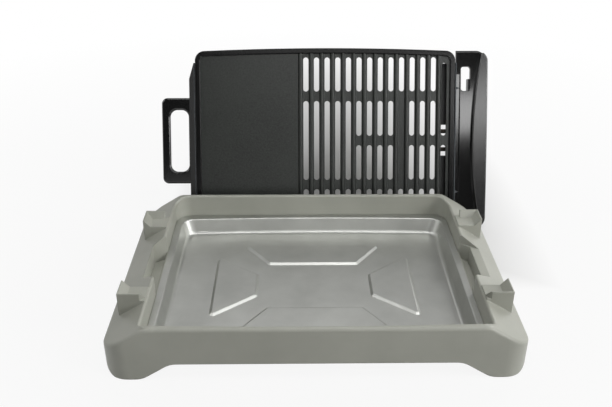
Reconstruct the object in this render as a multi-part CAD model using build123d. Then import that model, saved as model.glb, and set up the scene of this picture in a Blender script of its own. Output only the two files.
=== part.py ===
from build123d import *
import os
from math import cos, radians, sin

# Electric table grill, in millimetres, +Z up. A moulded base holds a sheet drip pan. The cast grill
# plate, with its heating element, brackets and handles, is stood up behind the base and leans back.
# The base is drawn about its own middle, and the plate flat, face up, about the middle of its face.

# One overrun carries every cut clear of the face that it starts from
overrun = 5.0

# Base moulding
base_width = 500.0
base_depth = 330.0
base_height = 72.0
base_corner = 30.0
wall = 2.6
edge_round = 4.0
sole_z = 0.5
sole_thickness = 5.0

# Decks: the broad sides of the base, which fall from the well's wall to the outer edge
deck_width = 47.0
deck_shoulder = 6.0
deck_low_z = 39.0
deck_round = 20.0
front_wall = 7.0
rear_wall = 8.0
well_crown = 3.5
well_front_round = 10.0
well_rear_round = 22.0
well_rim_round = 2.5

# Arches between the four feet, at the front and back, and at the sides
arch_z = 22.6
arch_run = 34.0
arch_round = 26.0
foot_width = 46.0
foot_length = 42.0
foot_round = 16.0

# Ledge that carries the drip pan
ledge_z = 39.0
ledge_width = 7.0
ledge_thickness = 3.0

# Recess in each deck, between the posts, and the shelf beside the right one
recess_reach_left = 16.4
recess_reach_right = 13.0
recess_outer_half = 39.0
recess_inner_half = 50.0
recess_floor_z = 30.0
shelf_reach = 25.0
shelf_half = 34.0
shelf_z = 53.0

# Posts whose corner seats take the plate's feet, with guards that slope down to the seats
post_y = 73.5
post_length = 29.5
post_edge_inset = 12.0
post_inner_inset = 8.5
guard_end_foot = 7.2
guard_end_top = 1.8
guard_side_foot = 9.7
guard_side_top = 1.2
guard_chamfer = 6.0
seat_z = 68.0
post_height = 77.5

# Rubber pads under the feet, with their screws
pad_radius = 8.0
pad_sunk = 2.0
pad_clearance = 0.2
pad_bore = 4.2
pad_edge_inset = 28.0
boss_radius = 6.0
boss_height = 17.0

# Screws: one shape in three lengths
screw_radius = 1.9
screw_clearance = 0.1
screw_head_radius = 3.6
screw_head_height = 2.2
foot_screw_length = 11.0
strap_screw_length = 8.0
handle_screw_length = 6.2

# Drip pan of pressed sheet
pan_sheet = 1.0
pan_clearance = 1.0
pan_flange = 8.5
pan_depth = 22.0
pan_draft_run = 6.5
pan_crown = 4.5
pan_corner = 16.0
pan_bottom_round = 6.0
pan_rim_round = 2.0
emboss_height = 2.6
emboss_draft = 52.0
emboss_round = 5.0
emboss_top_round = 2.0
emboss_centre_x = 105.2
emboss_side_outer = 72.3
emboss_side_inner = 25.3
emboss_side_width = 60.5
emboss_centre_y = 75.8
emboss_long_outer = 100.2
emboss_long_inner = 62.5
emboss_long_width = 51.2

# Grill plate: cast rim, flat griddle on the left and slotted grate on the right
plate_gap = 3.0
plate_depth = 282.4
plate_crown = 4.7
plate_corner = 15.0
rim_width = 8.0
rim_depth = 8.0
rim_round = 2.5
rim_inner_round = 1.2
griddle_sunk = 3.0
grate_sunk = 4.0
slot_count = 14
slot_pitch = 16.4
slot_width = 8.0
slot_margin = 8.6
rib_top = 3.2
rib_base = 7.4
rib_sunk = 0.6
rib_round = 1.1
crossbar_y = 68.2
crossbar_width = 14.5
row_end_gap = 5.6
corner_slot_gap = 8.6

# Pieces of the grate that stay solid, by column: the long slots, the blind column and the corner one
long_slot_columns = (1, 2, 3, 4, 5)
blind_column = 10
corner_column = 14

# Cast channels under the plate for the heating element and for the feeler tube
channel_width = 13.0
channel_depth = 8.0
element_radius = 3.25
element_clearance = 0.1
element_bend = 13.0
lead_bend = 6.5
element_margin = 35.0
lead_y = 14.0
lead_drop = 7.4
lead_jog = 12.0
lead_reach = 6.0
feeler_channel_depth = 12.5
feeler_radius = 3.0
feeler_bore = 2.2
feeler_length = 60.0
feeler_reach = 9.0
feeler_column = 6

# Terminals and their holder at the right edge of the plate
pin_radius = 2.0
pin_length = 26.0
pin_root_radius = 1.5
pin_neck = 1.5
collar_length = 3.0
collar_clearance = 0.1
holder_thickness = 2.0
holder_half = 33.0
holder_clearance = 0.5
holder_bottom = 26.0
holder_screw_y = 27.5
earth_width = 7.0
earth_thickness = 0.8
earth_length = 34.0
earth_tip = 6.0

# Straps that hold the element in its channel
strap_width = 11.0
strap_thickness = 1.2
strap_arm = 13.0
strap_boss_radius = 4.2
strap_inset = 25.0
strap_spacing = 70.0

# Sheet brackets between the plate and its handles
bracket_sheet = 1.5
bracket_gap = 0.5
bracket_half = 119.0
bracket_taper = 24.0
bracket_lip = 7.0
bracket_lip_drop = 1.5
bracket_depth = 16.0
bracket_boss_radius = 4.0
bracket_boss_inset = 6.0
bracket_boss_y = 105.0
bracket_tab_half = 8.0
bracket_tab_reach = 9.0
flange_clearance = 0.8
flange_gap_half = 24.0
spur_y = 80.0
spur_half = 2.6
spur_reach = 6.0
seat_drop = 24.0
seat_clearance = 1.0
ear_y = 55.0
ear_half = 7.0
ear_reach = 8.0
ear_hole_x = 4.0
window_half = 21.0
window_top = 8.6

# Handles
handle_thickness = 9.3
handle_round = 3.0
loop_reach = 50.0
loop_half = 66.0
loop_bar = 12.7
loop_arm = 18.5
loop_root = 9.0
loop_outer_round = 9.0
loop_inner_round = 11.0
right_reach = 48.3
right_end_inset = 3.5
right_corner = 17.0
right_crown = 5.0
groove_width = 6.2
groove_depth = 4.0
groove_half = 102.0
finger_x = 7.7
finger_width = 14.5
finger_low = 76.0
finger_high = 113.0
finger_round = 4.0
stub_wall = 5.5
stub_x = 20.0

# Crescent grip on the right handle
grip_bulge = 13.8
grip_width = 23.0
grip_edge = 1.0
grip_end_height = 5.0
grip_crown_height = 8.0
grip_round = 2.0
grip_tip_round = 3.0

# Socket under the right handle
socket_half = 38.0
socket_wall = 2.2
socket_inset = 5.0
socket_reach = 40.0
socket_depth = 16.5
socket_ear = 8.0
socket_ear_thickness = 2.5

# How the plate stands behind the base
lean = 23.3
stand_gap = 4.2
stand_offset = 22.1

# Places that follow from the sizes above
base_x = base_width / 2
base_y = base_depth / 2
well_x = base_x - deck_width
well_y = base_y - rear_wall
well_front = front_wall - base_y
deck_top_x = well_x - deck_shoulder
plate_x = well_x - plate_gap
plate_y = plate_depth / 2
inner_x = plate_x - rim_width
inner_y = plate_y - rim_width
web_z = -rim_depth
channel_z = web_z - channel_depth
element_z = channel_z + element_radius + element_clearance
lead_z = element_z - lead_drop
feeler_z = web_z - feeler_channel_depth + feeler_radius + element_clearance
bracket_x = plate_x + bracket_gap
handle_x = bracket_x + bracket_sheet
handle_top = -bracket_lip_drop - bracket_sheet
handle_back = handle_top - handle_thickness
right_half = plate_y - right_end_inset
right_x = handle_x + right_reach
element_right = inner_x - slot_margin - slot_pitch / 2
element_left = element_margin - plate_x
lead_end = handle_x + holder_thickness + lead_reach


def block(x_span, y_span, z_span):
    """A box between pairs of coordinates, given in either order."""
    spans = (x_span, y_span, z_span)
    middle = [(a + b) / 2 for a, b in spans]
    size = [abs(b - a) for a, b in spans]
    return Pos(*middle) * Box(*size)


def rod(radius, start, end, place):
    """A round bar along X, between two X places, at a (Y, Z) place."""
    y, z = place
    return Pos((start + end) / 2, y, z) * Rot(Y=90) * Cylinder(radius, abs(end - start))


def post(radius, low, high, place):
    """A round bar along Z, between two heights, at an (X, Y) place."""
    x, y = place
    return Pos(x, y, (low + high) / 2) * Cylinder(radius, abs(high - low))


def screw(length, seat, place):
    """A pan-head screw along Z, its shank pointing up from the seat of its head."""
    shank = post(screw_radius, seat, seat + length, place)
    return shank + post(screw_head_radius, seat - screw_head_height, seat, place)


def crowned_outline(half_x, half_y, crown, corner):
    """A rectangle with rounded corners, whose two long sides bow out by the crown."""
    end_y = half_y - crown
    rear = ThreePointArc((-half_x, end_y), (0, half_y), (half_x, end_y))
    front = ThreePointArc((half_x, -end_y), (0, -half_y), (-half_x, -end_y))
    right = Line(rear @ 1, front @ 0)
    left = Line(front @ 1, rear @ 0)
    face = make_face([rear, right, front, left])
    return fillet(face.vertices(), corner)


def mirrored_outline(points, radii):
    """A closed outline from its right half, listed from the top down, with a radius for each corner."""
    other_side = [(-x, y) for x, y in reversed(points)]
    line = FilletPolyline(*points, *other_side, radius=[*radii, *reversed(radii)], close=True)
    return make_face(line)


# Base

def base_block():
    """The base's outer form: front view and plan crossed, arches cut, top edge rounded."""
    foot_x = base_x - foot_width
    view = mirrored_outline(
        [(deck_top_x, base_height), (base_x, deck_low_z), (base_x, sole_z), (foot_x, sole_z),
         (foot_x - arch_run, arch_z)],
        [deck_round, 0, foot_round, arch_round, arch_round],
    )
    plan = RectangleRounded(base_width, base_depth, base_corner)
    body = extrude(plan, amount=base_height) & extrude(Plane.XZ * view, amount=base_depth, both=True)
    foot_y = base_y - foot_length
    side_arch = mirrored_outline(
        [(foot_y - arch_run, arch_z), (foot_y, sole_z), (base_depth, sole_z), (base_depth, -overrun)],
        [arch_round, arch_round, 0, 0],
    )
    body -= extrude(Plane.YZ * side_arch, amount=base_width, both=True)
    corner_y = base_y - base_corner
    rim = [
        edge for edge in body.edges()
        if edge.center().Z > deck_low_z - edge_round
        and (abs(edge.center().Y) > corner_y or abs(edge.center().X) > base_x - edge_round)
    ]
    return fillet(rim, edge_round)


def well_outline(grow=0.0):
    """Plan of the well: tight corners and a slight bow at the front, wide corners at the rear."""
    x = well_x + grow
    front_y = well_front - grow
    rear_y = well_y + grow
    front = ThreePointArc((-x, front_y + well_crown), (0, front_y), (x, front_y + well_crown))
    plan = make_face([front, Polyline(front @ 1, (x, rear_y), (-x, rear_y), front @ 0)])
    plan = fillet(plan.vertices().group_by(Axis.Y)[0], well_front_round + grow)
    return fillet(plan.vertices().group_by(Axis.Y)[-1], well_rear_round + grow)


def base_ring():
    """The base's outer form round the open well, with the rim of the well rounded."""
    rise = base_height + 2 * overrun
    ring = base_block() - extrude(Pos(Z=-overrun) * well_outline(), amount=rise)
    lap = wall / 2
    rim = []
    for edge in ring.edges():
        box = edge.bounding_box()
        inside = max(abs(box.min.X), abs(box.max.X)) < well_x + lap
        if inside and box.min.Y > well_front - lap and box.max.Y < well_y + lap and box.min.Z > ledge_z:
            rim.append(edge)
    return fillet(rim, well_rim_round)


def recess_plan(side, reach, grow=0.0):
    """Plan of a deck recess, slanted at its ends, grown by a wall where it shapes the hollow."""
    inner = side * (well_x - overrun)
    mouth = side * well_x
    outer = side * (well_x + reach + grow)
    wide = recess_inner_half + grow
    narrow = recess_outer_half + grow
    half = [(inner, wide), (mouth, wide), (outer, narrow)]
    return make_face(Polyline(*half, *[(x, -y) for x, y in reversed(half)], close=True))


def shelf_plan(grow=0.0):
    """Plan of the shelf beside the right recess."""
    half = [
        (well_x - overrun, recess_inner_half + grow), (well_x, recess_inner_half + grow),
        (well_x + shelf_reach + grow, shelf_half + grow),
    ]
    return make_face(Polyline(*half, *[(x, -y) for x, y in reversed(half)], close=True))


def recess_cuts(grow=0.0):
    """The two recesses and the shelf, as bars that run up out of the deck."""
    rise = base_height + overrun
    floor = recess_floor_z - grow
    cuts = extrude(Pos(Z=floor) * recess_plan(-1, recess_reach_left, grow), amount=rise)
    cuts += extrude(Pos(Z=floor) * recess_plan(1, recess_reach_right, grow), amount=rise)
    return cuts + extrude(Pos(Z=shelf_z - grow) * shelf_plan(grow), amount=rise)


def guard_opening(height, side_wall, end_wall):
    """The space for the plate's foot at one height, open towards the well and along the side."""
    inner = well_x - overrun
    near = post_y - overrun
    outer = base_x - post_edge_inset - side_wall
    far = post_y + post_length - end_wall
    corners = [(inner, near), (outer, near), (outer, far), (inner, far)]
    return Pos(Z=height) * make_face(Polyline(*corners, close=True))


def post_guard(chamfer):
    """The guard of the rear right post: a corner wall whose inner faces slope down to the seat."""
    inner = well_x + post_inner_inset
    outer = base_x - post_edge_inset
    far = post_y + post_length
    plan = make_face(Polyline(
        (inner - chamfer, post_y), (outer, post_y), (outer, far), (inner, far),
        (inner - chamfer, far - guard_chamfer), close=True))
    guard = extrude(Pos(Z=seat_z - wall) * plan, amount=post_height - seat_z + wall)
    low = guard_opening(seat_z, guard_side_foot, guard_end_foot)
    high = guard_opening(post_height, guard_side_top, guard_end_top)
    return guard - loft([low.face(), high.face()], ruled=True)


def base_posts(grow=0.0):
    """The blocks of the four corner posts, or with grow the hollows inside them."""
    inner = well_x + max(grow, well_rim_round)
    outer = base_x - post_edge_inset - grow
    posts = []
    for side in (-1, 1):
        for end in (-1, 1):
            span = (end * (post_y + grow), end * (post_y + post_length - grow))
            posts.append(block((side * inner, side * outer), span, (deck_low_z, seat_z - grow)))
    return Part() + posts


def post_guards():
    """The guards of all four posts; the front ones are cut back at the well."""
    rear = post_guard(0.0)
    front = mirror(post_guard(guard_chamfer), about=Plane.XZ)
    pair = rear + front
    return pair + mirror(pair, about=Plane.YZ)


def base_core():
    """The hollow under the base: everything inside its walls, short of the soles of the feet."""
    lowered = mirrored_outline(
        [(deck_top_x, base_height - wall), (base_x, deck_low_z - wall), (base_x, -overrun)],
        [deck_round, 0, 0])
    plan = RectangleRounded(base_width - 2 * wall, base_depth - 2 * wall, base_corner - wall)
    core = extrude(Plane.XZ * lowered, amount=base_depth, both=True)
    core &= extrude(Pos(Z=-overrun) * plan, amount=base_height + overrun)
    core -= extrude(Pos(Z=-overrun) * well_outline(wall), amount=base_height + 2 * overrun)
    core -= recess_cuts(wall)
    for side in (-1, 1):
        for end in (-1, 1):
            foot_x = (side * (base_x - foot_width), side * base_x)
            foot_y = (end * (base_y - foot_length), end * base_y)
            core -= block(foot_x, foot_y, (-overrun, sole_z + sole_thickness))
    return core + base_posts(wall)


def pad_places():
    """The middles of the four rubber pads, by name."""
    places = {}
    for end, end_name in ((-1, "front"), (1, "rear")):
        for side, side_name in ((-1, "left"), (1, "right")):
            place = (side * (base_x - pad_edge_inset), end * (base_y - pad_edge_inset))
            places[f"{end_name}_{side_name}"] = place
    return places


def base_shell():
    """The moulding: walls, decks and posts round an open well, hollow below, with the pan's ledge."""
    shell = base_ring() + base_posts() + post_guards() - recess_cuts() - base_core()
    ledge = well_outline(wall / 2) - well_outline(-ledge_width)
    shell += extrude(Pos(Z=ledge_z - ledge_thickness) * ledge, amount=ledge_thickness)
    seat = sole_z + pad_sunk
    for place in pad_places().values():
        shell += post(boss_radius, seat, boss_height, place)
        shell -= post(pad_radius + pad_clearance, -overrun, seat, place)
        shell -= post(screw_radius + screw_clearance, -overrun, seat + foot_screw_length, place)
    return shell


def rubber_pad(place):
    """A rubber pad, sunk into a foot's sole, with a hole for its screw."""
    head_seat = sole_z + pad_sunk
    return post(pad_radius, 0, head_seat, place) - post(pad_bore, -overrun, head_seat + overrun, place)


def foot_screws():
    """The screws that hold the pads, up through the soles."""
    seat = sole_z + pad_sunk
    return Part() + [screw(foot_screw_length, seat, place) for place in pad_places().values()]


# Drip pan

def bowl(grow):
    """The pan's inside, or grown by a sheet its outside, rounded where the floor meets the walls."""
    top_x = well_x - pan_clearance - pan_flange + grow
    top_y = well_y - pan_clearance - pan_flange + grow
    top_z = ledge_z + pan_sheet
    floor_z = top_z - pan_depth - grow
    top = Pos(Z=top_z) * crowned_outline(top_x, top_y, pan_crown, pan_corner + grow)
    floor = Pos(Z=floor_z) * crowned_outline(
        top_x - pan_draft_run, top_y - pan_draft_run, pan_crown, pan_corner + grow)
    body = loft([top.face(), floor.face()], ruled=True)
    return fillet(body.faces().sort_by(Axis.Z)[0].edges(), pan_bottom_round + grow)


def emboss_plans():
    """The four trapezoids pressed up in the pan's floor, as outlines about the pan's middle."""
    side = [
        (emboss_side_width / 2, emboss_side_outer), (-emboss_side_width / 2, emboss_side_inner),
        (-emboss_side_width / 2, -emboss_side_inner), (emboss_side_width / 2, -emboss_side_outer),
    ]
    long = [
        (emboss_long_outer, emboss_long_width / 2), (-emboss_long_outer, emboss_long_width / 2),
        (-emboss_long_inner, -emboss_long_width / 2), (emboss_long_inner, -emboss_long_width / 2),
    ]
    side_face = fillet(make_face(Polyline(*side, close=True)).vertices(), emboss_round)
    long_face = fillet(make_face(Polyline(*long, close=True)).vertices(), emboss_round)
    return [
        Pos(emboss_centre_x, 0) * side_face, Rot(Z=180) * Pos(emboss_centre_x, 0) * side_face,
        Pos(0, emboss_centre_y) * long_face, Rot(Z=180) * Pos(0, emboss_centre_y) * long_face,
    ]


def drip_pan():
    """The pressed pan: flange, sloped walls and a floor with four raised trapezoids."""
    flange = extrude(Pos(Z=ledge_z) * well_outline(-pan_clearance), amount=pan_sheet)
    pan = flange + bowl(pan_sheet) - bowl(0.0)
    top_z = ledge_z + pan_sheet
    rim_x = well_x - pan_clearance - pan_flange
    rim_y = well_y - pan_clearance - pan_flange
    rim = [
        edge for edge in pan.edges()
        if edge.bounding_box().min.Z > top_z - pan_sheet / 2
        and abs(edge.center().X) < rim_x + pan_sheet and abs(edge.center().Y) < rim_y + pan_sheet
    ]
    pan = fillet(rim, pan_rim_round)
    floor_z = top_z - pan_depth
    for plan in emboss_plans():
        raised = extrude(Pos(Z=floor_z) * plan, amount=emboss_height, taper=emboss_draft)
        raised = fillet(raised.faces().sort_by(Axis.Z)[-1].edges(), emboss_top_round)
        pan = pan + raised - Pos(Z=-pan_sheet) * raised
    return pan


# Grill plate and what is fixed to it

def slot_x(column):
    """The middle of a column of slots, counted from the griddle."""
    return inner_x - slot_margin - (slot_count - column) * slot_pitch


def slot_rows(column):
    """The stretches of a column that are open, as pairs of Y places."""
    half_bar = crossbar_width / 2
    end = inner_y - row_end_gap
    outer = (crossbar_y + half_bar, end)
    if column == corner_column:
        upper = [(half_bar, end - corner_slot_gap)]
    elif column == blind_column:
        upper = [outer]
    elif column in long_slot_columns:
        return [outer, (half_bar - crossbar_y, crossbar_y - half_bar), (-outer[1], -outer[0])]
    else:
        upper = [outer, (half_bar, crossbar_y - half_bar)]
    return upper + [(-high, -low) for low, high in upper]


def slots():
    """All the slots of the grate."""
    plans = []
    for column in range(1, slot_count + 1):
        for low, high in slot_rows(column):
            place = Pos(slot_x(column), (low + high) / 2)
            plans.append(place * SlotOverall(high - low, slot_width, rotation=90))
    return extrude(Pos(Z=web_z - overrun) * (Sketch() + plans), amount=rim_depth + 2 * overrun)


def ribs():
    """The raised bars between the slots, tapered towards their tops."""
    half_base = rib_base / 2
    half_top = rib_top / 2
    section = make_face(Polyline(
        (-half_base, -grate_sunk), (-half_top, -rib_sunk),
        (half_top, -rib_sunk), (half_base, -grate_sunk), close=True))
    section = fillet(section.vertices().group_by(Axis.Y)[-1], rib_round)
    bars = []
    for column in range(1, slot_count + 1):
        bars.append(Plane.XZ * Pos(slot_x(column) - slot_pitch / 2) * section)
    return extrude(Sketch() + bars, amount=plate_y, both=True)


def channels():
    """The cast channels under the plate, with the bosses for the straps and brackets."""
    half = channel_width / 2
    lap = (web_z, channel_z)
    run_right = element_right - element_bend
    run_left = element_left + element_bend
    side_run = crossbar_y - element_bend
    bars = []
    for y in (-crossbar_y, crossbar_y):
        bars.append(block((run_left, run_right), (y - half, y + half), lap))
    bars.append(block((element_left - half, element_left + half), (-side_run, side_run), lap))
    feeler_lap = (web_z, web_z - feeler_channel_depth)
    bars.append(block((slot_x(feeler_column), plate_x), (-half, half), feeler_lap))
    for x, y in strap_places():
        for arm in (-strap_arm, strap_arm):
            bars.append(post(strap_boss_radius, channel_z, web_z, (x, y + arm)))
    for place in bracket_boss_places():
        bars.append(post(bracket_boss_radius, channel_z, web_z, place))
    return Part() + bars


def grooves():
    """The grooves of the channels, and the screw holes in their bosses."""
    half = element_radius + element_clearance
    feeler_half = feeler_radius + element_clearance
    roof = channel_z + 2 * half + element_clearance
    deep = (channel_z - overrun, roof)
    across = channel_width + overrun
    cuts = []
    for y in (-crossbar_y, crossbar_y):
        cuts.append(block((element_left - across, element_right + across), (y - half, y + half), deep))
    cuts.append(block((element_left - half, element_left + half), (-crossbar_y, crossbar_y), deep))
    feeler_run = (plate_x + feeler_reach - feeler_length, plate_x + overrun)
    feeler_deep = (web_z - feeler_channel_depth - overrun, feeler_z + feeler_half)
    cuts.append(block(feeler_run, (-feeler_half, feeler_half), feeler_deep))
    hole = screw_radius + screw_clearance
    for x, y in strap_places():
        for arm in (-strap_arm, strap_arm):
            cuts.append(post(hole, channel_z - overrun, channel_z + strap_screw_length, (x, y + arm)))
    for place in bracket_boss_places():
        cuts.append(post(hole, channel_z - overrun, channel_z + strap_screw_length, place))
    return Part() + cuts


def strap_places():
    """The middles of the straps over the element, under the griddle."""
    first = element_left + strap_inset
    return [(first + step * strap_spacing, end * crossbar_y) for end in (-1, 1) for step in (0, 1)]


def bracket_boss_places():
    """The bosses under the plate's sides that carry the brackets."""
    x = plate_x - bracket_boss_inset
    return [(side * x, end * bracket_boss_y) for side in (-1, 1) for end in (-1, 1)]


def grill_plate():
    """The casting: rim, sunk griddle, ribbed and slotted grate, and the channels on its back."""
    slab = extrude(crowned_outline(plate_x, plate_y, plate_crown, plate_corner), amount=-rim_depth)
    slab = fillet(slab.faces().sort_by(Axis.Z)[-1].edges(), rim_round)
    inner = crowned_outline(inner_x, inner_y, plate_crown, plate_corner - rim_width)
    griddle_right = slot_x(1) - slot_pitch / 2 - rib_base / 2
    basin = extrude(inner, amount=-grate_sunk)
    griddle = block((-plate_x, griddle_right), (-plate_y, plate_y), (-griddle_sunk, -grate_sunk))
    frame = slab - basin
    frame = fillet(frame.faces().sort_by(Axis.Z)[-1].inner_wires()[0].edges(), rim_inner_round)
    cast = frame + (basin & (ribs() + griddle))
    return cast + channels() - slots() - grooves()


def element_path():
    """The element's middle line: in at one terminal, round under both crossbars, out at the other."""
    jog = plate_x - lead_jog
    start = [
        (lead_end, lead_y, lead_z), (plate_x, lead_y, lead_z), (jog, lead_y, element_z),
        (element_right, lead_y, element_z), (element_right, crossbar_y, element_z),
        (element_left, crossbar_y, element_z),
    ]
    back = [(x, -y, z) for x, y, z in reversed(start)]
    bends = [lead_bend, lead_bend, lead_bend, element_bend, element_bend]
    return FilletPolyline(*start, *back, radius=[*bends, *reversed(bends)])


def heating_element():
    """The tubular element, laid in the channels of the plate."""
    path = element_path()
    section = Plane(origin=path @ 0, z_dir=path % 0) * Circle(element_radius)
    return sweep(section, path=path)


def terminal_pin(side):
    """A contact pin on an end of the element, with a slimmer root through its collar."""
    place = (side * lead_y, lead_z)
    shoulder = lead_end + collar_length + pin_neck
    root = rod(pin_root_radius, lead_end, shoulder, place)
    return root + rod(pin_radius, shoulder, lead_end + pin_length, place)


def insulator(side):
    """The ceramic collar round the root of a contact pin."""
    place = (side * lead_y, lead_z)
    collar = rod(element_radius, lead_end, lead_end + collar_length, place)
    bore = pin_root_radius + collar_clearance
    return collar - rod(bore, lead_end - overrun, lead_end + pin_length, place)


def feeler_tube():
    """The tube under the plate that takes a thermostat's feeler from the right."""
    end = plate_x + feeler_reach
    tube = rod(feeler_radius, end - feeler_length, end, (0, feeler_z))
    return tube - rod(feeler_bore, end - feeler_length - overrun, end + overrun, (0, feeler_z))


def terminal_holder():
    """The insulating plate that holds the element's ends at the bracket's window."""
    plate = block(
        (handle_x, handle_x + holder_thickness), (-holder_half, holder_half),
        (-holder_bottom, handle_back - holder_clearance))
    ends = (bracket_x - overrun, lead_end + overrun)
    for side in (-1, 1):
        plate -= rod(element_radius + element_clearance, *ends, (side * lead_y, lead_z))
        plate -= rod(screw_radius + screw_clearance, *ends, (side * holder_screw_y, lead_z))
    plate -= rod(feeler_radius + element_clearance, *ends, (0, feeler_z))
    strip_half = earth_width / 2 + element_clearance
    strip_top = web_z - feeler_channel_depth + element_clearance
    strip_low = strip_top - earth_thickness - 2 * element_clearance
    return plate - block(ends, (-strip_half, strip_half), (strip_top, strip_low))


def holder_screws():
    """The screws that fix the terminal holder to the bracket."""
    screws = []
    seat = handle_x + holder_thickness
    for side in (-1, 1):
        place = (side * holder_screw_y, lead_z)
        shank = rod(screw_radius, seat, bracket_x - bracket_sheet, place)
        screws.append(shank + rod(screw_head_radius, seat, seat + screw_head_height, place))
    return Part() + screws


def earth_contact():
    """The spring strip that earths the plate, under the feeler tube."""
    low = web_z - feeler_channel_depth
    end = handle_x + holder_thickness + lead_reach + collar_length
    start = end - earth_length
    strip = block((start, end), (-earth_width / 2, earth_width / 2), (low, low - earth_thickness))
    tip = block((end - earth_thickness, end), (-earth_width / 2, earth_width / 2), (low, low - earth_tip))
    return strip + tip


def strap(place):
    """A steel strap across the channel, with a hole at each end."""
    x, y = place
    reach = strap_arm + strap_boss_radius
    bar = extrude(
        Pos(x, y, channel_z - strap_thickness) * SlotOverall(2 * reach, strap_width, rotation=90),
        amount=strap_thickness)
    hole = screw_radius + screw_clearance
    for arm in (-strap_arm, strap_arm):
        bar -= post(hole, channel_z - overrun, channel_z + overrun, (x, y + arm))
    return bar


def strap_screws():
    """The screws of the straps, up into the bosses of the plate."""
    seat = channel_z - strap_thickness
    screws = []
    for x, y in strap_places():
        for arm in (-strap_arm, strap_arm):
            screws.append(screw(strap_screw_length, seat, (x, y + arm)))
    return Part() + screws


# Brackets and handles

def left_lip():
    """The lip along the front of the left bracket, which covers the root of the loop handle."""
    end = handle_x + bracket_lip
    half = [(-bracket_x, bracket_half), (-handle_x, bracket_half), (-end, bracket_half - bracket_taper)]
    plan = make_face(Polyline(*half, *[(x, -y) for x, y in reversed(half)], close=True))
    return extrude(Pos(Z=handle_top) * plan, amount=bracket_sheet)


def right_trim():
    """The spurs of the right bracket, over the handle's groove, and its flanges behind the last slots."""
    low = -bracket_depth - bracket_sheet
    flange = (element_right + element_radius + flange_clearance, handle_x)
    trim = []
    for end in (-1, 1):
        trim.append(block(flange, (end * flange_gap_half, end * bracket_half), (low, -bracket_depth)))
        spur = make_face(Polyline(
            (bracket_x, end * spur_y - spur_half), (handle_x + spur_reach, end * spur_y),
            (bracket_x, end * spur_y + spur_half), close=True))
        trim.append(extrude(Pos(Z=handle_top) * spur, amount=bracket_sheet))
    return Part() + trim


def bracket(side):
    """A sheet bracket along one side of the plate: web, trim, tabs under the bosses, feet and ears."""
    web_x = (side * bracket_x, side * handle_x)
    low = -bracket_depth - bracket_sheet
    sheet = block(web_x, (-bracket_half, bracket_half), (low, -bracket_lip_drop))
    sheet += right_trim() if side > 0 else left_lip()
    hole = screw_radius + screw_clearance
    for end in (-1, 1):
        boss = (side * (plate_x - bracket_boss_inset), end * bracket_boss_y)
        inner = side * (plate_x - bracket_boss_inset - bracket_tab_reach)
        tab = (boss[1] - bracket_tab_half, boss[1] + bracket_tab_half)
        sheet += block((inner, side * handle_x), tab, (low, -bracket_depth))
        sheet -= post(hole, low - overrun, overrun - bracket_depth, boss)
        near = end * (post_y + seat_clearance)
        far = end * (post_y + post_length - guard_end_foot - seat_clearance)
        sheet += block(web_x, (near, far), (-seat_drop, low))
        ear = (side * (handle_x + ear_hole_x), end * ear_y)
        sheet += block(
            (side * bracket_x, side * (handle_x + ear_reach)), (ear[1] - ear_half, ear[1] + ear_half),
            (handle_back - bracket_sheet, handle_back))
        sheet -= post(hole, low - overrun, handle_back + screw_clearance, ear)
    if side > 0:
        sheet += block(web_x, (-holder_half, holder_half), (-holder_bottom, low))
        through = (bracket_x - overrun, handle_x + overrun)
        sheet -= block(through, (-window_half, window_half), (-holder_bottom - overrun, -window_top))
        for end in (-1, 1):
            sheet -= rod(hole, *through, (end * holder_screw_y, lead_z))
    return sheet


def bracket_screws():
    """The screws that hold both brackets to the bosses of the plate."""
    seat = channel_z - bracket_sheet
    return Part() + [screw(strap_screw_length, seat, place) for place in bracket_boss_places()]


def handle_screws(side):
    """The two screws of one handle, up through the bracket's ears."""
    x = side * (handle_x + ear_hole_x)
    seat = handle_back - bracket_sheet
    return Part() + [screw(handle_screw_length, seat, (x, end * ear_y)) for end in (-1, 1)]


def handle_screw_holes(side):
    """Holes in a handle for its two screws."""
    x = side * (handle_x + ear_hole_x)
    top = handle_back - bracket_sheet + handle_screw_length + screw_clearance
    radius = screw_radius + screw_clearance
    return Part() + [post(radius, handle_back - overrun, top, (x, end * ear_y)) for end in (-1, 1)]


def left_handle():
    """The loop handle on the griddle's side: a bar on two arms, round a gap for the fingers."""
    outer = -(handle_x + loop_reach)
    root = -handle_x
    rim = FilletPolyline(
        (root, loop_half), (outer, loop_half), (outer, -loop_half), (root, -loop_half),
        radius=[0, loop_outer_round, loop_outer_round, 0], close=True)
    arm = loop_half - loop_arm
    gap_outer = outer + loop_bar
    gap_root = root - loop_root
    gap = RectangleRounded(gap_root - gap_outer, 2 * arm, loop_inner_round)
    gap = Pos((gap_outer + gap_root) / 2, 0) * gap
    loop = extrude(Pos(Z=handle_back) * (make_face(rim) - gap), amount=handle_thickness)
    rounded = [
        edge for edge in loop.edges()
        if edge.bounding_box().size.Z < handle_round and edge.center().X < root - loop_root - handle_round
    ]
    return fillet(rounded, handle_round) - handle_screw_holes(-1)


def handle_arch():
    """The line along the top of the right handle, which falls towards both ends."""
    half = right_half + overrun
    end_z = handle_top - right_crown
    return ThreePointArc((-half, end_z), (0, handle_top), (half, end_z))


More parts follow.
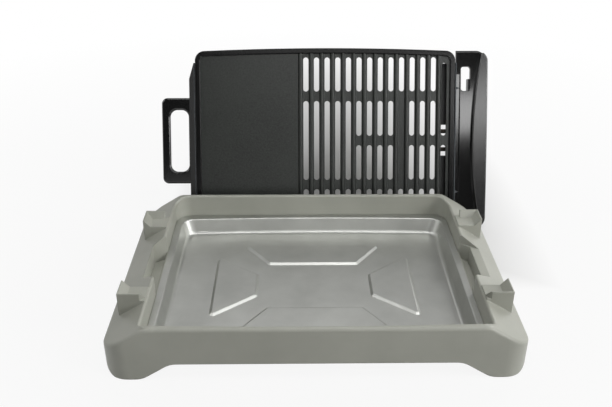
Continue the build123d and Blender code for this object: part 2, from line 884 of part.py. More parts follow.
def right_handle():
    """The long handle on the grate's side: a crowned bar with a groove, a finger hole and two stubs."""
    plan = FilletPolyline(
        (handle_x, right_half), (right_x, right_half), (right_x, -right_half), (handle_x, -right_half),
        radius=[0, right_corner, right_corner, 0], close=True)
    body = extrude(Pos(Z=handle_back) * make_face(plan), amount=handle_thickness)
    arch = handle_arch()
    half = right_half + overrun
    low = handle_back - overrun
    under = Polyline(arch @ 1, (half, low), (-half, low), arch @ 0)
    body &= extrude(Plane.YZ * make_face([arch, under]), amount=2 * right_x, both=True)
    top = body.faces().sort_by(Axis.Z)[-1]
    outer_edges = [edge for edge in top.edges() if edge.center().X > handle_x + handle_round]
    body = fillet(outer_edges, handle_round)
    groove = (handle_x - overrun, handle_x + groove_width)
    body -= block(groove, (-groove_half, groove_half), (handle_top - groove_depth, overrun))
    finger = RectangleRounded(finger_width, finger_high - finger_low, finger_round)
    finger = Pos(handle_x + finger_x + finger_width / 2, (finger_low + finger_high) / 2) * finger
    body -= extrude(Pos(Z=handle_back - overrun) * finger, amount=handle_thickness + 2 * overrun)
    for end in (-1, 1):
        near = end * (post_y + seat_clearance)
        far = end * (post_y + post_length - guard_end_foot - seat_clearance)
        stub = handle_x + stub_x
        body += block((stub, stub + stub_wall), (near, far), (-seat_drop, handle_back))
    return body - handle_screw_holes(1) - socket_screw_holes()


def right_grip():
    """The crescent grip on the right handle: it follows the handle's crown, and has one bowed side."""
    outer = right_x - grip_edge
    half = right_half - grip_edge
    corner = right_corner - grip_edge
    inner = outer - grip_width
    ends = inner + grip_bulge
    outline = FilletPolyline(
        (handle_x, half), (outer, half), (outer, -half), (handle_x, -half),
        radius=[0, corner, corner, 0], close=True)
    bow = ThreePointArc((ends, half), (inner, 0), (ends, -half))
    plan = make_face([bow, Polyline(bow @ 1, (right_x, -half), (right_x, half), bow @ 0)])
    plan &= make_face(outline)
    tips = plan.vertices().sort_by(Axis.X)[:2]
    plan = fillet(tips, grip_tip_round)
    under = handle_arch()
    end_z = handle_top + grip_end_height
    reach = right_half + overrun
    top = ThreePointArc((-reach, end_z), (0, handle_top + grip_crown_height), (reach, end_z))
    view = make_face([top, Line(top @ 1, under @ 1), under, Line(under @ 0, top @ 0)])
    grip = extrude(Pos(Z=handle_back) * plan, amount=handle_thickness + grip_crown_height + overrun)
    grip &= extrude(Plane.YZ * view, amount=2 * right_x, both=True)
    return fillet(grip.faces().sort_by(Axis.Z)[-1].edges(), grip_round)


def socket_screw_places():
    """The screws that hold the socket under the handle."""
    x = handle_x + socket_reach - socket_ear
    y = socket_half + socket_ear / 2
    return [(x, -y), (x, y)]


def socket_screw_holes():
    """Holes in the right handle for the socket's screws."""
    top = handle_back - socket_ear_thickness + handle_screw_length + screw_clearance
    radius = screw_radius + screw_clearance
    return Part() + [post(radius, handle_back - overrun, top, place) for place in socket_screw_places()]


def socket_shroud():
    """The socket under the right handle, open to the right."""
    inner = handle_x + socket_inset
    outer = handle_x + socket_reach
    low = handle_back - socket_depth
    box = block((inner, outer), (-socket_half, socket_half), (low, handle_back))
    box -= block(
        (inner + socket_wall, outer + overrun), (socket_wall - socket_half, socket_half - socket_wall),
        (low + socket_wall, handle_back + overrun))
    box -= block(
        (inner - overrun, inner + socket_wall + overrun), (-window_half, window_half),
        (low + socket_wall, handle_back + overrun))
    for x, y in socket_screw_places():
        ear_side = 1 if y > 0 else -1
        ear = (ear_side * (socket_half - socket_wall), ear_side * (socket_half + socket_ear))
        ear_lap = (handle_back - socket_ear_thickness, handle_back)
        box += block((x - socket_ear, x + socket_ear), ear, ear_lap)
        box -= post(screw_radius + screw_clearance, low, handle_back + overrun, (x, y))
    return box


def socket_screws():
    """The two screws of the socket."""
    seat = handle_back - socket_ear_thickness
    return Part() + [screw(handle_screw_length, seat, place) for place in socket_screw_places()]


# The whole grill

def stand(piece):
    """Stands a piece of the plate up behind the base, leaning back, with its lower edge on the table."""
    tilt = radians(lean)
    y = base_y + stand_gap + plate_y * sin(tilt)
    z = plate_y * cos(tilt) + rim_depth * sin(tilt)
    return Pos(stand_offset, y, z) * Rot(X=90 - lean) * piece


def base_pieces():
    """The base with its pads and screws, and the drip pan in its well."""
    pieces = {"base_shell": base_shell(), "foot_screws": foot_screws(), "drip_pan": drip_pan()}
    for name, place in pad_places().items():
        pieces[f"rubber_pad_{name}"] = rubber_pad(place)
    return pieces


def plate_pieces():
    """The plate and all that is fixed to it, lying flat."""
    pieces = {
        "grill_plate": grill_plate(),
        "heating_element": heating_element(),
        "feeler_tube": feeler_tube(),
        "terminal_holder": terminal_holder(),
        "holder_screws": holder_screws(),
        "earth_contact": earth_contact(),
        "strap_screws": strap_screws(),
        "bracket_screws": bracket_screws(),
        "left_bracket": bracket(-1),
        "right_bracket": bracket(1),
        "left_handle": left_handle(),
        "left_handle_screws": handle_screws(-1),
        "right_handle": right_handle(),
        "right_handle_screws": handle_screws(1),
        "right_grip": right_grip(),
        "socket_shroud": socket_shroud(),
        "socket_screws": socket_screws(),
    }
    for side, name in ((-1, "lower"), (1, "upper")):
        pieces[f"terminal_pin_{name}"] = terminal_pin(side)
        pieces[f"insulator_{name}"] = insulator(side)
    for number, place in enumerate(strap_places(), start=1):
        pieces[f"element_strap_{number}"] = strap(place)
    return pieces


def grill():
    """Every piece in its place, with the origin under the middle of the whole arrangement."""
    pieces = base_pieces()
    for name, piece in plate_pieces().items():
        pieces[name] = stand(piece)
    box = Compound(list(pieces.values())).bounding_box()
    middle = Pos(-box.center().X, -box.center().Y, -box.min.Z)
    return {name: middle * piece for name, piece in pieces.items()}


if __name__ == "__main__":
    os.makedirs("parts", exist_ok=True)
    for name, piece in grill().items():
        export_step(piece, f"parts/{name}.step")
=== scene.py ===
# %% [markdown]
# # An electric table grill, dressed for its photograph
# The construction model gives every piece of the grill at its real size: a moulded base, a drip pan, a
# cast plate with two handles, and the element and inlet behind the plate. It is loaded as a fixed frame.
# The steps below give each piece the finish of its real material, soften in that finish the edges that a
# tool would round, and put a small studio around the grill.

# %% Load the construction model
from math import pi, radians
import bpy
from mathutils import Matrix, Vector

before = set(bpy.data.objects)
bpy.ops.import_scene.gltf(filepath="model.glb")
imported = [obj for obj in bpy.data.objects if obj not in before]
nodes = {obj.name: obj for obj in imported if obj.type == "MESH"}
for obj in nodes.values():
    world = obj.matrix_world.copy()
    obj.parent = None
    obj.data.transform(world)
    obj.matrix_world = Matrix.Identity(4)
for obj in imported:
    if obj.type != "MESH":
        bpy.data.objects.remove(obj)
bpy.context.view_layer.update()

# %% [markdown]
# ## Camera
# The picture looks down on the grill from the front at about 28 degrees. Its place, turn and focal
# length could be set by eye. Here they come from a fit to the corners of the base and of the plate, so
# that a render can be laid over the picture and compared edge by edge.

# %% Camera at the picture's place
camera_place = Vector((-0.03452, -0.89736, 0.59354))
camera_pitch = 28.32
camera_yaw = 0.85
camera_roll = 0.17
sensor_mm = 36.0
focal_pixels = 745.0
picture_width = 612.0

lens = bpy.data.cameras.new("picture_camera")
lens.sensor_fit = "HORIZONTAL"
lens.sensor_width = sensor_mm
lens.lens = focal_pixels / picture_width * sensor_mm
camera = bpy.data.objects.new("picture_camera", lens)
bpy.context.scene.collection.objects.link(camera)
turn = Matrix.Rotation(radians(-camera_yaw), 4, "Z")
tilt = Matrix.Rotation(radians(90 - camera_pitch), 4, "X")
roll = Matrix.Rotation(radians(camera_roll), 4, "Z")
camera.matrix_world = Matrix.Translation(camera_place) @ turn @ tilt @ roll
bpy.context.scene.camera = camera
print("camera lens", round(lens.lens, 2), "mm")

# %% [markdown]
# ## Colours and shader nodes
# Colours are written as sRGB hex codes, as a colour picker shows them, and turned to linear light for
# the shader. One small function adds a shader node, sets it and links it, so that a material reads as a
# short list of steps. The sizes of patterns are real sizes: a noise with grains of 1 mm has a scale of
# 1000, because one Blender unit is a metre.


# %% Colour and node helpers
def linear(hex_code):
    """An sRGB hex colour as linear red, green, blue and alpha."""
    channels = [int(hex_code[at:at + 2], 16) / 255 for at in (1, 3, 5)]
    return [c / 12.92 if c <= 0.04045 else ((c + 0.055) / 1.055) ** 2.4 for c in channels] + [1.0]


def wire(tree, node, inputs):
    """Sets a node's inputs to values, or links them where the value is another node's output."""
    for socket, value in inputs.items():
        if isinstance(value, bpy.types.NodeSocket):
            tree.links.new(value, node.inputs[socket])
        else:
            node.inputs[socket].default_value = value


def add(tree, kind, inputs, stops=(), **settings):
    """Adds a shader node with its settings, its inputs and, on a colour ramp, its stops."""
    made = tree.nodes.new("ShaderNode" + kind)
    for name, value in settings.items():
        setattr(made, name, value)
    wire(tree, made, inputs)
    for number, (at, colour) in enumerate(stops):
        made.color_ramp.elements[number].position = at
        made.color_ramp.elements[number].color = linear(colour)
    return made


def per_grain(size_mm):
    """The scale of a noise whose grains are about this size."""
    return 1000.0 / size_mm


# %% [markdown]
# ## Starting and giving a finish
# Every finish here begins the same way: a new material, its main shader, and the object coordinates that
# its patterns read. The pieces of the model sit at the origin with their place in their mesh, so object
# coordinates are metres in the frame of the whole grill, and no pattern slides when a piece is moved.


# %% Material helpers
def start_material(name):
    """A new material: itself, its node tree, its main shader and the object coordinates."""
    made = bpy.data.materials.new(name)
    made.use_nodes = True
    tree = made.node_tree
    place = add(tree, "TexCoord", {}).outputs["Object"]
    return made, tree, tree.nodes["Principled BSDF"], place


def dress(material, names):
    """Gives pieces of the model a material."""
    for name in names:
        slots = nodes[name].data.materials
        slots.clear()
        slots.append(material)
    print(material.name, "on", ", ".join(names))


# %% [markdown]
# ## Base: moulded ABS
# The base is a warm light grey ABS moulding. Its tool was spark-eroded, which leaves a fine even grain
# that breaks up reflections, so the walls look almost matt and only the rounded edges shine softly. Large
# faint blotches stand for the slight changes of tone in a big moulding. The grain of a real tool is about
# 0.2 mm; it is drawn at 0.7 mm so that it shows at this distance. A bevel node bends the light at the
# edges of the posts and recesses as if they were rounded, as every edge of a moulding is.

# %% Warm grey ABS
base_blotch_mm = 60.0
base_grain_mm = 0.7
base_edge = 0.0018
edge_rays = 8

base_abs, tree, shader, place = start_material("moulded_abs_warm_grey")
blotch = add(tree, "TexNoise", {"Vector": place, "Scale": per_grain(base_blotch_mm), "Detail": 3.0})
tint = add(tree, "ValToRGB", {"Fac": blotch.outputs["Fac"]}, stops=[(0.3, "#A5A69C"), (0.7, "#AEAFA5")])
grain = add(tree, "TexNoise", {"Vector": place, "Scale": per_grain(base_grain_mm), "Detail": 2.0})
rough = add(tree, "MapRange", {"Value": grain.outputs["Fac"], "To Min": 0.34, "To Max": 0.5})
edge = add(tree, "Bevel", {"Radius": base_edge}, samples=edge_rays)
bump = add(tree, "Bump", {
    "Height": grain.outputs["Fac"], "Strength": 0.12, "Distance": 0.0002,
    "Normal": edge.outputs["Normal"],
})
wire(tree, shader, {
    "Base Color": tint.outputs["Color"], "Roughness": rough.outputs["Result"],
    "Normal": bump.outputs["Normal"], "IOR": 1.53,
})
dress(base_abs, ["base_shell"])

# %% [markdown]
# ## Drip pan: pressed aluminium
# The pan is pressed from rolled aluminium sheet. Rolling leaves long fine streaks along the width, which
# spread reflections, and pressing and washing leave cloudy patches. A noise that is stretched along X
# gives the streaks, and a coarse one gives the clouds. Real streaks are finer; they are drawn 0.8 mm wide
# so that they show at this distance.

# %% Rolled aluminium
streak_mm = 0.8
streak_stretch = (0.04, 1.0, 1.0)
pan_cloud_mm = 45.0

pan_sheet, tree, shader, place = start_material("pressed_aluminium_satin")
along = add(tree, "Mapping", {"Vector": place, "Scale": streak_stretch})
rolled = add(tree, "TexNoise", {
    "Vector": along.outputs["Vector"], "Scale": per_grain(streak_mm), "Detail": 3.0})
cloud = add(tree, "TexNoise", {"Vector": place, "Scale": per_grain(pan_cloud_mm), "Detail": 4.0})
tint = add(tree, "ValToRGB", {"Fac": cloud.outputs["Fac"]}, stops=[(0.3, "#B4B5B1"), (0.7, "#C1C2BE")])
rough = add(tree, "MapRange", {"Value": rolled.outputs["Fac"], "To Min": 0.38, "To Max": 0.48})
bump = add(tree, "Bump", {"Height": rolled.outputs["Fac"], "Strength": 0.06, "Distance": 0.0002})
wire(tree, shader, {
    "Base Color": tint.outputs["Color"], "Roughness": rough.outputs["Result"],
    "Normal": bump.outputs["Normal"], "Metallic": 1.0,
})
dress(pan_sheet, ["drip_pan"])

# %% [markdown]
# ## The plate's own frame
# The plate leans back, so heights and widths of the whole grill say little about a place on it. Two
# finishes need such places: the black bead round the plate's edge, and the bare edge of the brackets. A
# Mapping node turns the object coordinates into the plate's own frame: X across it, Y up it, and Z out of
# its face, all from its middle.

# %% Places on the leaning plate
plate_middle = (0.0109, 0.16214, 0.13285)
plate_turn = (radians(66.7), 0.0, 0.0)


def on_plate(tree, place):
    """The place across the plate, up it and out of its face, as the outputs X, Y and Z."""
    flat = add(tree, "Mapping", {
        "Vector": place, "Location": plate_middle, "Rotation": plate_turn}, vector_type="TEXTURE")
    return add(tree, "SeparateXYZ", {"Vector": flat.outputs["Vector"]}).outputs


print("plate middle at", plate_middle)

# %% [markdown]
# ## Plate: non-stick coating
# The plate is an aluminium casting with a dark grey non-stick coating, flecked and slightly rough from the
# primer under it, and cloudy from use. The flecks of a real coating are under 1 mm; they are drawn at 2 mm
# so that they show at this distance. The bead round the edge carries a smoother black coat. Two materials
# would need the casting cut into two pieces, so one material does both: the distance from the plate's
# middle says where the bead begins, and the long sides of the bead follow the plate's slight bow.

# %% Where the bead begins
bead_x = 0.1917
bead_y = 0.1329
bead_bow = 0.0047
bead_blend = 0.0004
plate_half = 0.2

plate_coat, tree, shader, place = start_material("cast_aluminium_nonstick_coating")
across = on_plate(tree, place)
side = add(tree, "Math", {0: across["X"]}, operation="ABSOLUTE")
share = add(tree, "Math", {0: side.outputs["Value"], 1: plate_half}, operation="DIVIDE")
square = add(tree, "Math", {0: share.outputs["Value"], 1: 2.0}, operation="POWER")
bow = add(tree, "Math", {
    0: square.outputs["Value"], 1: bead_bow, 2: -bead_y}, operation="MULTIPLY_ADD")
up = add(tree, "Math", {0: across["Y"]}, operation="ABSOLUTE")
past_end = add(tree, "Math", {0: up.outputs["Value"], 1: bow.outputs["Value"]}, operation="ADD")
past_side = add(tree, "Math", {0: side.outputs["Value"], 1: bead_x}, operation="SUBTRACT")
past = add(tree, "Math", {
    0: past_end.outputs["Value"], 1: past_side.outputs["Value"]}, operation="MAXIMUM")
bead = add(tree, "MapRange", {
    "Value": past.outputs["Value"], "From Min": -bead_blend, "From Max": bead_blend})
print("bead from", bead_x, "m across and", bead_y, "m up")

# %% [markdown]
# ## Face and bead
# The coating could be one dark grey, but a used plate is uneven: fine flecks and wide clouds vary its tone
# and its gloss. The bead takes its own black, which is smoother and shines less. A bevel node softens the
# edges of the ribs and slots, as the thickness of a coating does.

# %% Coating of the cast plate
fleck_mm = 2.2
plate_cloud_mm = 90.0
cloud_share = 0.4
plate_edge = 0.0008

fleck = add(tree, "TexNoise", {"Vector": place, "Scale": per_grain(fleck_mm), "Detail": 4.0})
cloud = add(tree, "TexNoise", {"Vector": place, "Scale": per_grain(plate_cloud_mm), "Detail": 2.0})
tone = add(tree, "Math", {
    0: cloud.outputs["Fac"], 1: cloud_share, 2: fleck.outputs["Fac"]}, operation="MULTIPLY_ADD")
grey = add(tree, "ValToRGB", {"Fac": tone.outputs["Value"]}, stops=[(0.4, "#111411"), (0.95, "#2A2E2A")])
tint = add(tree, "Mix", {
    "Factor": bead.outputs["Result"], 6: grey.outputs["Color"], 7: linear("#0A0A0A")}, data_type="RGBA")
rough_face = add(tree, "MapRange", {"Value": fleck.outputs["Fac"], "To Min": 0.28, "To Max": 0.38})
rough = add(tree, "MapRange", {
    "Value": bead.outputs["Result"], "To Min": rough_face.outputs["Result"], "To Max": 0.22})
shine = add(tree, "MapRange", {"Value": bead.outputs["Result"], "To Min": 0.5, "To Max": 0.22})
edge = add(tree, "Bevel", {"Radius": plate_edge}, samples=edge_rays)
bump = add(tree, "Bump", {
    "Height": fleck.outputs["Fac"], "Strength": 0.2, "Distance": 0.0004,
    "Normal": edge.outputs["Normal"],
})
wire(tree, shader, {
    "Base Color": tint.outputs[2], "Roughness": rough.outputs["Result"],
    "Normal": bump.outputs["Normal"], "Specular IOR Level": shine.outputs["Result"],
})
dress(plate_coat, ["grill_plate"])

# %% [markdown]
# ## Handles: black phenolic
# Handles that sit next to a hot plate are moulded from a black phenolic resin, which stands the heat and
# takes a high gloss from a polished tool. Two versions of one finish are enough: a glossy one for the
# handles and the socket, and a slightly duller one for the grip, where fingers wear the polish. The faint
# grain of the filler is drawn at 0.8 mm, coarser than it is, so that it shows.


# %% Black mouldings
resin_grain_mm = 0.8
handle_edge = 0.001


def black_moulding(name, rough_low, rough_high, ior):
    """A black resin, as glossy as its roughness values and refractive index say."""
    made, tree, shader, place = start_material(name)
    grain = add(tree, "TexNoise", {"Vector": place, "Scale": per_grain(resin_grain_mm), "Detail": 2.0})
    tint = add(tree, "ValToRGB", {"Fac": grain.outputs["Fac"]}, stops=[(0.3, "#080808"), (0.7, "#0E0E0E")])
    rough = add(tree, "MapRange", {
        "Value": grain.outputs["Fac"], "To Min": rough_low, "To Max": rough_high})
    edge = add(tree, "Bevel", {"Radius": handle_edge}, samples=edge_rays)
    bump = add(tree, "Bump", {
        "Height": grain.outputs["Fac"], "Strength": 0.04, "Distance": 0.0002,
        "Normal": edge.outputs["Normal"],
    })
    wire(tree, shader, {
        "Base Color": tint.outputs["Color"], "Roughness": rough.outputs["Result"],
        "Normal": bump.outputs["Normal"], "IOR": ior,
    })
    return made


dress(black_moulding("phenolic_moulding_black", 0.1, 0.15, 1.6),
      ["left_handle", "right_handle", "socket_shroud"])
dress(black_moulding("worn_phenolic_black", 0.22, 0.28, 1.75), ["right_grip"])

# %% [markdown]
# ## Brackets: black enamelled sheet
# The brackets between the plate and its handles are bent from sheet steel and enamelled black. Beside the
# plate's rim the enamel has burnt and rubbed off the sheet's edge, which shows as a thin grey line. The
# plate's own frame says where that edge is: near the plate's face, and not on the wide lip beside the
# griddle.

# %% Black enamel with a bare edge
lip_from = 0.2019
bare_from = -0.0032
stain_mm = 4.0

bracket_sheet, tree, shader, place = start_material("black_enamelled_sheet_steel")
across = on_plate(tree, place)
inside = add(tree, "Math", {0: across["X"], 1: -lip_from}, operation="GREATER_THAN")
high = add(tree, "Math", {0: across["Z"], 1: bare_from}, operation="GREATER_THAN")
bare = add(tree, "Math", {0: inside.outputs["Value"], 1: high.outputs["Value"]}, operation="MULTIPLY")
stain = add(tree, "TexNoise", {"Vector": place, "Scale": per_grain(stain_mm), "Detail": 3.0})
sheet = add(tree, "ValToRGB", {"Fac": stain.outputs["Fac"]}, stops=[(0.3, "#404244"), (0.7, "#545759")])
tint = add(tree, "Mix", {
    "Factor": bare.outputs["Value"], 6: linear("#0B0B0B"), 7: sheet.outputs["Color"]}, data_type="RGBA")
rough = add(tree, "MapRange", {"Value": stain.outputs["Fac"], "To Min": 0.36, "To Max": 0.54})
wire(tree, shader, {
    "Base Color": tint.outputs[2], "Metallic": bare.outputs["Value"],
    "Roughness": rough.outputs["Result"],
})
dress(bracket_sheet, ["left_bracket", "right_bracket"])

# %% [markdown]
# ## Element, straps and inlet
# A tubular element is a steel tube that has been glowing hot, so it wears a dark brown oxide with cloudy
# patches. The straps, the feeler tube and the earth strip stay cooler and keep a dull steel grey. The
# contact pins are plated and bright, and the screws have a zinc coat. All are metals with patches, so one
# recipe with colours, patch size and roughness makes the four.


# %% Heated, plain and plated metals
def steel(name, low, high, patch_mm, rough_low, rough_high):
    """A metal with cloudy patches between two colours and two roughness values."""
    made, tree, shader, place = start_material(name)
    patch = add(tree, "TexNoise", {"Vector": place, "Scale": per_grain(patch_mm), "Detail": 4.0})
    tint = add(tree, "ValToRGB", {"Fac": patch.outputs["Fac"]}, stops=[(0.35, low), (0.65, high)])
    rough = add(tree, "MapRange", {
        "Value": patch.outputs["Fac"], "To Min": rough_low, "To Max": rough_high})
    wire(tree, shader, {
        "Base Color": tint.outputs["Color"], "Roughness": rough.outputs["Result"], "Metallic": 1.0})
    return made


straps = [f"element_strap_{number}" for number in (1, 2, 3, 4)]
screws = [name for name in nodes if name.endswith("screws")]
dress(steel("oxidised_element_steel", "#2B2724", "#3D3833", 9.0, 0.45, 0.6), ["heating_element"])
dress(steel("dull_stainless_steel", "#6E6C69", "#7F7D7A", 6.0, 0.35, 0.48),
      ["feeler_tube", "earth_contact"] + straps)
dress(steel("nickel_plated_brass", "#B5B0A4", "#C4BFB2", 3.0, 0.18, 0.26),
      ["terminal_pin_lower", "terminal_pin_upper"])
dress(steel("zinc_plated_screw_steel", "#8C8D8C", "#9D9E9C", 2.0, 0.3, 0.42), screws)

# %% [markdown]
# ## Insulators and pads
# The collars round the pins are unglazed steatite, a fine white ceramic. The holder is pressed mica
# board, brown and flaky. The pads under the feet are black rubber, dusty from the table. All three are
# matt and speckled, and differ in colour, speckle size and depth, so one recipe makes them.


# %% Matt speckled finishes
def speckled(name, low, high, speck_mm, roughness, depth):
    """A matt material whose specks also give it a slight relief."""
    made, tree, shader, place = start_material(name)
    speck = add(tree, "TexNoise", {"Vector": place, "Scale": per_grain(speck_mm), "Detail": 3.0})
    tint = add(tree, "ValToRGB", {"Fac": speck.outputs["Fac"]}, stops=[(0.4, low), (0.6, high)])
    bump = add(tree, "Bump", {"Height": speck.outputs["Fac"], "Strength": depth, "Distance": 0.0003})
    wire(tree, shader, {
        "Base Color": tint.outputs["Color"], "Roughness": roughness, "Normal": bump.outputs["Normal"]})
    return made


pads = [name for name in nodes if name.startswith("rubber_pad")]
dress(speckled("unglazed_steatite", "#D8D3C4", "#E4E0D3", 0.8, 0.6, 0.1),
      ["insulator_lower", "insulator_upper"])
dress(speckled("pressed_mica_board", "#7A6444", "#94805C", 2.5, 0.55, 0.2), ["terminal_holder"])
dress(speckled("dusty_black_rubber", "#161616", "#242322", 1.2, 0.8, 0.25), pads)

# %% [markdown]
# ## Helpers for the studio
# The studio needs two flat sheets, a floor and a screen, and both the floor and the backdrop behind it
# have to look white without lighting the grill. A Light Path node tells what kind of ray has arrived: the
# white is shown to the camera, to reflections and to see-through rays, and not to the light that falls on
# the pieces.


# %% Sheets and rays
def flat_sheet(name, size):
    """A square sheet on the ground, in the middle of the scene."""
    bpy.ops.object.select_all(action="DESELECT")
    bpy.ops.mesh.primitive_plane_add(size=size)
    made = bpy.context.active_object
    made.name = name
    return made


def seen_by_eye(tree):
    """One for camera, reflection and see-through rays, and nought for all other light."""
    rays = add(tree, "LightPath", {}).outputs
    seen = rays["Is Camera Ray"]
    for kind in ("Is Glossy Ray", "Is Transmission Ray"):
        seen = add(tree, "Math", {0: seen, 1: rays[kind]}, operation="MAXIMUM").outputs["Value"]
    return seen


# %% [markdown]
# ## Floor
# The picture was taken on pale paper and its background made white. A wide pale floor does the same: a
# share of plain white is added where the camera, a reflection or a see-through ray meets it, and the rest
# is matt, so that the soft shadow stays. Near the foot of the standing plate a painted shadow lies on the
# paper: the white fades and the paper is painted a darker grey, which shows through the slots. Far away
# the white is full, so that no horizon shows.

# %% How white the paper is at each place
floor_size = 14.0
paper_glow = 0.9
# These values place a painted shadow: a patch behind the plate where the paper glows less and is darker.
shade_middle = (0.05, 0.2, 0.0)
shade_reach = (0.27, 0.85, 1.0)
shade_core = 0.25
shade_end = 1.1
shade_front = 0.1
shade_start = -0.05
white_from = 0.3
white_to = 1.3

floor = flat_sheet("paper_floor", floor_size)
paper = bpy.data.materials.new("white_studio_paper")
paper.use_nodes = True
tree = paper.node_tree
tree.nodes.remove(tree.nodes["Principled BSDF"])
place = add(tree, "TexCoord", {}).outputs["Object"]
around = add(tree, "Mapping", {
    "Vector": place, "Location": shade_middle, "Scale": shade_reach}, vector_type="TEXTURE")
away = add(tree, "VectorMath", {0: around.outputs["Vector"]}, operation="LENGTH")
behind = add(tree, "MapRange", {
    "Value": away.outputs["Value"], "From Min": shade_core, "From Max": shade_end})
depth = add(tree, "SeparateXYZ", {"Vector": place})
before = add(tree, "MapRange", {
    "Value": depth.outputs["Y"], "From Min": shade_front, "From Max": shade_start})
# The painted shadow: nought near the plate's foot, where the paper is painted darkest, and one far from it
# and in front of the plate.
painted_shadow_fade = add(tree, "Math", {
    0: behind.outputs["Result"], 1: before.outputs["Result"]}, operation="MAXIMUM")
distance = add(tree, "VectorMath", {0: place}, operation="LENGTH")
far = add(tree, "MapRange", {
    "Value": distance.outputs["Value"], "From Min": white_from, "From Max": white_to,
    "To Min": paper_glow,
})
lift = add(tree, "Math", {0: painted_shadow_fade.outputs["Value"], 1: far.outputs["Result"]}, operation="MULTIPLY")
print("floor", floor_size, "m wide")

# %% [markdown]
# ## Paper
# Paper could be made white by more light, but that would light the grill too. A mix of a matt surface and
# a plain glow, by the share that was worked out above, looks white and keeps the shadow.

# %% White paper floor
share = add(tree, "Math", {0: seen_by_eye(tree), 1: lift.outputs["Value"]}, operation="MULTIPLY")
# Where the lift is low, near the plate, this ramp paints the paper a darker grey: the painted shadow.
tint = add(tree, "ValToRGB", {
    "Fac": lift.outputs["Value"]}, stops=[(0.0, "#A6A6A4"), (paper_glow, "#C6C6C4")])
matt = add(tree, "BsdfDiffuse", {"Color": tint.outputs["Color"]})
glow = add(tree, "Emission", {"Color": linear("#FFFFFF"), "Strength": 1.0})
blend = add(tree, "MixShader", {
    0: share.outputs["Value"], 1: matt.outputs["BSDF"], 2: glow.outputs["Emission"]})
wire(tree, tree.nodes["Material Output"], {"Surface": blend.outputs["Shader"]})
floor.data.materials.append(paper)
print(paper.name, "on", floor.name)

# %% [markdown]
# ## Room
# Beyond the floor stands a white backdrop, which the camera sees and which metal and gloss show too, as
# they do in a studio. White all round would light the object from every side and wash out its shadows, so
# the white fades a little above the horizon, and the room above it, and all its other light, is dim.

# %% White backdrop, dim room
room_light = 0.09
backdrop_top = 0.1
ceiling_from = 0.22

world = bpy.data.worlds.new("white_studio")
bpy.context.scene.world = world
world.use_nodes = True
tree = world.node_tree
toward = add(tree, "TexCoord", {}).outputs["Generated"]
height = add(tree, "SeparateXYZ", {"Vector": toward}).outputs["Z"]
backdrop = add(tree, "MapRange", {"Value": height, "From Min": ceiling_from, "From Max": backdrop_top})
white = add(tree, "Math", {0: seen_by_eye(tree), 1: backdrop.outputs["Result"]}, operation="MULTIPLY")
level = add(tree, "MapRange", {"Value": white.outputs["Value"], "To Min": room_light, "To Max": 1.0})
wire(tree, tree.nodes["Background"], {"Color": linear("#FFFFFF"), "Strength": level.outputs["Result"]})
print("room light", room_light)

# %% [markdown]
# ## Lamps
# The shadows in the picture are soft and lie in the recesses and under the rim, and the right sides of
# the base are the light ones. That is two large soft lights overhead, two more from the right, and a weak
# one that opens the shadows on the left. Each softbox is an area lamp, turned to the point that it lights.
# Its strength is given as the brightness of its face, which makes boxes of different sizes easy to
# compare: the power of an area lamp is its brightness times its area times pi.


# %% Softboxes
def softbox(name, place, aim, size, brightness):
    """An area lamp of a given size and brightness, turned to a point."""
    lamp = bpy.data.lights.new(name, "AREA")
    lamp.shape = "RECTANGLE"
    lamp.size, lamp.size_y = size
    lamp.energy = brightness * pi * size[0] * size[1]
    made = bpy.data.objects.new(name, lamp)
    bpy.context.scene.collection.objects.link(made)
    direction = Vector(aim) - Vector(place)
    facing = direction.to_track_quat("-Z", "Y").to_matrix().to_4x4()
    made.matrix_world = Matrix.Translation(place) @ facing
    print(name, "at", place)
    return made


softbox("overhead_front", (0.15, -0.62, 1.85), (0.0, 0.0, 0.0), (1.4, 0.7), 4.0)
softbox("overhead_rear", (-0.25, 1.1, 1.7), (0.0, 0.1, 0.0), (1.4, 0.8), 2.0)
softbox("right_front", (1.8, -0.95, 0.95), (0.0, 0.0, 0.05), (0.8, 0.8), 11.0)
softbox("right_rear", (1.4, 1.3, 1.1), (0.0, 0.0, 0.05), (0.9, 0.9), 4.4)
softbox("left_side", (-1.9, -0.1, 0.9), (0.0, 0.0, 0.05), (0.9, 1.1), 1.2)

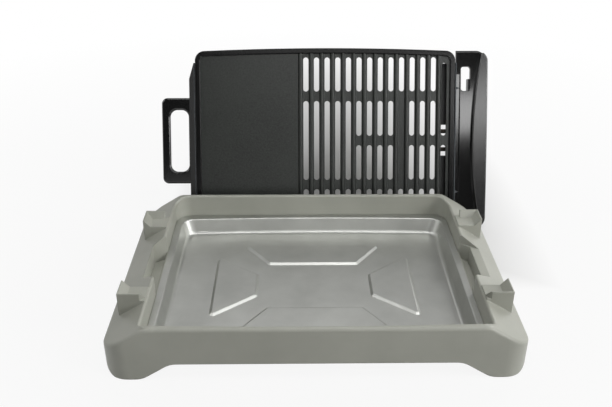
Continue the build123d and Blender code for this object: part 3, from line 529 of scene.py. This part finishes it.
# %% [markdown]
# ## What the gloss reflects
# A black glossy handle shows little but the room in front of it, and so does bare aluminium. In the
# picture the upper half of the long handle holds one pale card and the rest of it is dark, the pan shines
# on its rear wall and on the slanting edges of its raised shapes, and the coated plate is a little lighter
# towards its top. Five lamps that only reflections see stand for the cards that do this: one for the
# handle, one for the pan's rear wall, one at the right and one at the left for the slanting edges, and one
# for the plate. None of them adds light to the rest.

# %% Cards for reflections
cards = [
    softbox("handle_card", (0.74, -1.7, 1.155), (0.24, 0.2, 0.18), (0.5, 0.3), 7.0),
    softbox("pan_card", (-0.1, -2.3, 0.64), (0.0, 0.1, 0.05), (1.3, 0.6), 0.9),
    softbox("right_card", (1.4, -0.4, 1.4), (0.0, 0.0, 0.05), (0.7, 0.7), 6.0),
    softbox("left_card", (-1.5, -0.4, 1.4), (0.0, 0.0, 0.05), (0.7, 0.7), 6.0),
    softbox("plate_card", (0.08, -1.7, 1.46), (0.0, 0.2, 0.2), (0.9, 0.5), 2.2),
]
for card in cards:
    card.visible_diffuse = False
print("reflections see", len(cards), "cards")

# %% [markdown]
# ## Dark screen
# Without a screen the lower half of the long handle would show the white floor. A sheet of black felt,
# tilted between the handle and the floor in front of it, keeps that half dark. Only reflections see it, so
# it hides nothing and casts no shadow.

# %% Dark screen for reflections
screen_place = Matrix.Translation((0.8, -1.1, 0.36))
screen_tilt = Matrix.Rotation(radians(-27), 4, "X")
screen_size = Matrix.Diagonal((0.9, 1.5, 1.0, 1.0))

screen = flat_sheet("dark_screen", 1.0)
screen.data.transform(screen_place @ screen_tilt @ screen_size)
felt = bpy.data.materials.new("black_felt")
felt.use_nodes = True
wire(felt.node_tree, felt.node_tree.nodes["Principled BSDF"], {
    "Base Color": linear("#101010"), "Roughness": 0.9})
screen.data.materials.append(felt)
for kind in ("camera", "diffuse", "shadow", "transmission"):
    setattr(screen, "visible_" + kind, False)
print("reflections see a dark screen on the right")

# %% [markdown]
# The Standard view shows a colour as it was written.

# %% Colour management
bpy.context.scene.view_settings.view_transform = "Standard"
